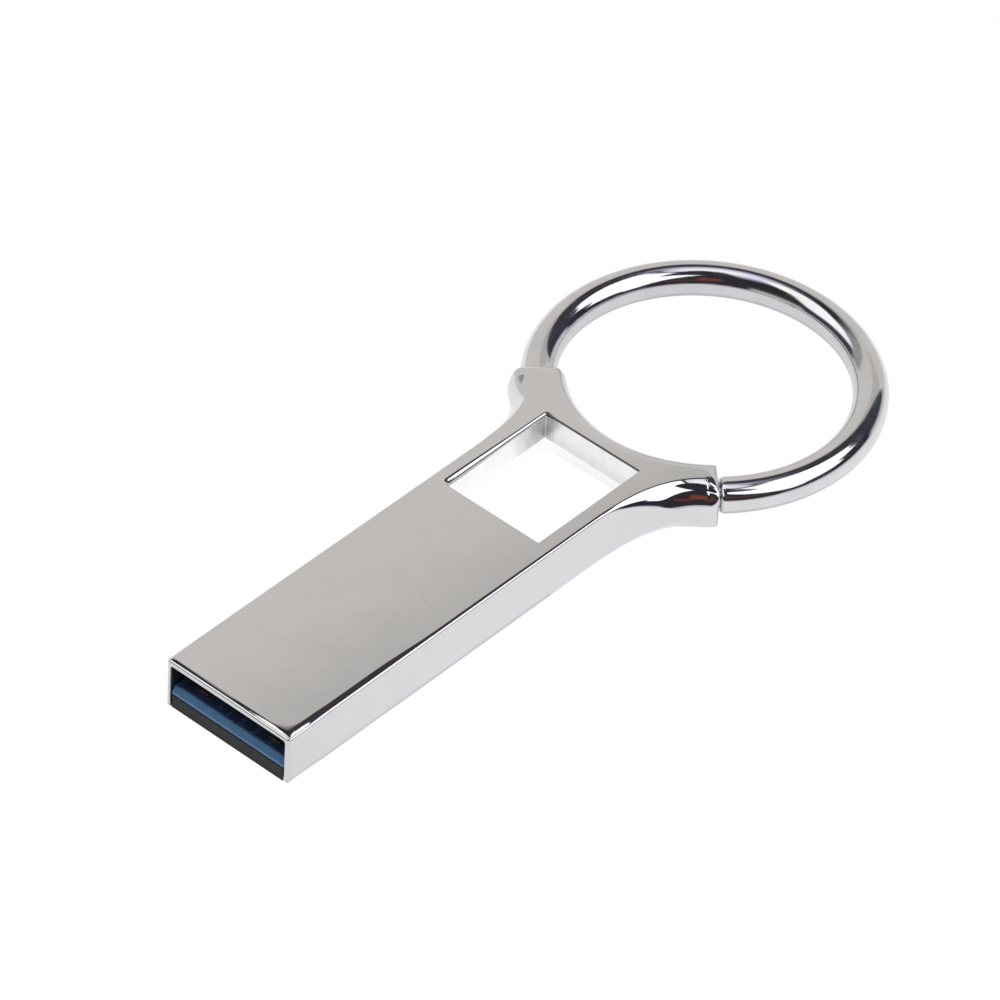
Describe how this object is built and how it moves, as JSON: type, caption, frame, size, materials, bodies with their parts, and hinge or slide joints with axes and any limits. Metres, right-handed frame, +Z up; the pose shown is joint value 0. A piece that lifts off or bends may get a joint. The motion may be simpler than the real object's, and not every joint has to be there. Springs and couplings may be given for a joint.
{
  "type": "usb flash drive",
  "caption": "Flat metal USB type A flash drive cast in one piece with a square window and two arms that hold a sliding, sprung key ring.",
  "frame": {"origin": "under the middle of the bounding box, on the plane of the flat underside", "axes": "+Y from the plug's mouth to the far side of the key ring, +X across the plug to its right seen from above with the mouth nearest, +Z up out of the top face"},
  "size_m": [0.028, 0.0662, 0.0045],
  "materials": {
    "chrome": "polished chrome plate on a zinc casting",
    "chrome_wire": "polished chrome plated steel wire",
    "steel": "drawn stainless steel",
    "nylon": "natural white nylon",
    "black_plastic": "semi-gloss moulded black plastic",
    "blue_plastic": "satin moulded blue plastic",
    "epoxy": "matte black moulding compound",
    "board": "glass-epoxy board with dark solder mask",
    "foam": "closed-cell adhesive foam",
    "silicon": "polished silicon",
    "ceramic": "ceramic chip capacitor",
    "gold": "gold plate over nickel"
  },
  "bodies": {
    "drive": {"shell": "chrome", "guide_bush": "nylon", "return_spring": "steel", "carrier": "black_plastic", "contact_frame": "blue_plastic", "module_moulding": "epoxy", "circuit_board": "board", "adhesive_pad": "foam", "controller_die": "silicon", "flash_die": "silicon", "crystal": "steel", "decoupling_capacitor_front": "ceramic", "decoupling_capacitor_rear": "ceramic", "contact_ground": "gold", "contact_data_plus": "gold", "contact_data_minus": "gold", "contact_vbus": "gold", "spring_contact_tx_plus": "gold", "spring_contact_tx_minus": "gold", "spring_contact_drain": "gold", "spring_contact_rx_plus": "gold", "spring_contact_rx_minus": "gold"},
    "ring": {"key_ring": "chrome_wire", "latch_pin": "steel"}
  },
  "joints": [
    {"name": "ring_slide", "type": "hinge", "parent": "drive", "child": "ring", "pos_m": [0, 0.01917, 0.00225], "axis": [0, 0, 1], "range_deg": [0, 13], "stiffness_Nm_per_rad": 0.02, "springref_deg": -28.65, "deforming": ["return_spring"]}
  ]
}
